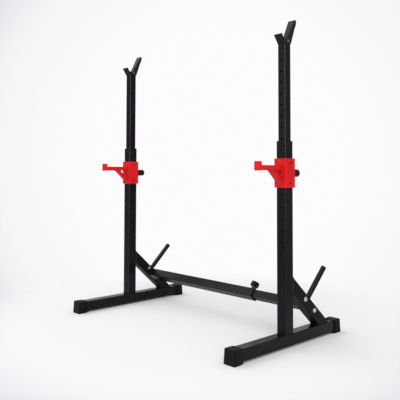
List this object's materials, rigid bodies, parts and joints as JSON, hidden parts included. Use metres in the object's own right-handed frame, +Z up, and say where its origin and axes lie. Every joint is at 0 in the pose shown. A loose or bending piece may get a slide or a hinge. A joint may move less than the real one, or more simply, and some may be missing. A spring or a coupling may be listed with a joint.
{
  "type": "squat stand",
  "caption": "Free-standing squat stands joined by a telescopic crossbar, with height-adjustable bar saddles, sliding spotter arms, pull pins and storage pegs.",
  "frame": {"origin": "on the floor, midway between the two stands and midway along their feet", "axes": "+X from the left stand to the right stand, -Y the way the spotter arms point, +Z up"},
  "size_m": [1.2028, 0.74, 1.444],
  "materials": {
    "black_powder_coat": "semi-gloss",
    "red_powder_coat": "semi-gloss",
    "zinc_plate": "bright zinc",
    "foot_rubber": "matte",
    "black_plastic": "satin"
  },
  "bodies": {
    "left_stand": {"left_base_tube": "black_powder_coat", "left_front_foot": "foot_rubber", "left_rear_foot": "foot_rubber", "left_upright_tube": "black_powder_coat", "left_upright_collar": "black_plastic", "left_brace_tube": "black_powder_coat", "left_storage_peg": "black_powder_coat", "left_peg_cap": "black_plastic", "left_upper_bolt": "zinc_plate", "left_upper_nut": "zinc_plate", "left_lower_bolt": "zinc_plate", "left_lower_nut": "zinc_plate", "left_crossbar_plate": "black_powder_coat", "crossbar_outer_tube": "black_powder_coat", "crossbar_bush": "black_plastic", "crossbar_pin_boss": "black_powder_coat"},
    "right_stand": {"right_base_tube": "black_powder_coat", "right_front_foot": "foot_rubber", "right_rear_foot": "foot_rubber", "right_upright_tube": "black_powder_coat", "right_upright_collar": "black_plastic", "right_brace_tube": "black_powder_coat", "right_storage_peg": "black_powder_coat", "right_peg_cap": "black_plastic", "right_upper_bolt": "zinc_plate", "right_upper_nut": "zinc_plate", "right_lower_bolt": "zinc_plate", "right_lower_nut": "zinc_plate", "right_crossbar_plate": "black_powder_coat", "crossbar_inner_tube": "black_powder_coat"},
    "left_post": {"left_post_tube": "black_powder_coat", "left_post_plug": "black_powder_coat", "left_post_glide": "black_plastic", "left_saddle": "black_powder_coat", "left_saddle_bolt": "zinc_plate", "left_saddle_nut": "zinc_plate"},
    "left_spotter": {"left_spotter_sleeve": "red_powder_coat", "left_spotter_liner": "black_plastic", "left_spotter_arm": "red_powder_coat", "left_spotter_strut": "red_powder_coat", "left_spotter_end_stop": "red_powder_coat", "left_pin_boss": "red_powder_coat"},
    "left_spotter_pin": {"left_pin_knob": "black_plastic", "left_lock_pin": "zinc_plate"},
    "right_post": {"right_post_tube": "black_powder_coat", "right_post_plug": "black_powder_coat", "right_post_glide": "black_plastic", "right_saddle": "black_powder_coat", "right_saddle_bolt": "zinc_plate", "right_saddle_nut": "zinc_plate"},
    "right_spotter": {"right_spotter_sleeve": "red_powder_coat", "right_spotter_liner": "black_plastic", "right_spotter_arm": "red_powder_coat", "right_spotter_strut": "red_powder_coat", "right_spotter_end_stop": "red_powder_coat", "right_pin_boss": "red_powder_coat"},
    "right_spotter_pin": {"right_pin_knob": "black_plastic", "right_lock_pin": "zinc_plate"},
    "crossbar_pin": {"crossbar_pin_knob": "black_plastic", "crossbar_lock_pin": "zinc_plate"}
  },
  "joints": [
    {"name": "crossbar_slide", "type": "slide", "parent": "left_stand", "child": "right_stand", "axis": [1, 0, 0], "range_m": [-0.2, 0.15]},
    {"name": "left_post_slide", "type": "slide", "parent": "left_stand", "child": "left_post", "axis": [0, 0, 1], "range_m": [-0.3, 0.3]},
    {"name": "left_spotter_slide", "type": "slide", "parent": "left_stand", "child": "left_spotter", "axis": [0, 0, 1], "range_m": [-0.35, 0.1]},
    {"name": "left_pin_push", "type": "slide", "parent": "left_spotter", "child": "left_spotter_pin", "axis": [0, -1, 0], "range_m": [0, 0.012]},
    {"name": "right_post_slide", "type": "slide", "parent": "right_stand", "child": "right_post", "axis": [0, 0, 1], "range_m": [-0.3, 0.3]},
    {"name": "right_spotter_slide", "type": "slide", "parent": "right_stand", "child": "right_spotter", "axis": [0, 0, 1], "range_m": [-0.35, 0.1]},
    {"name": "right_pin_push", "type": "slide", "parent": "right_spotter", "child": "right_spotter_pin", "axis": [0, -1, 0], "range_m": [0, 0.012]},
    {"name": "crossbar_pin_push", "type": "slide", "parent": "left_stand", "child": "crossbar_pin", "axis": [0, -0.6691, -0.7431], "range_m": [0, 0.008]}
  ]
}
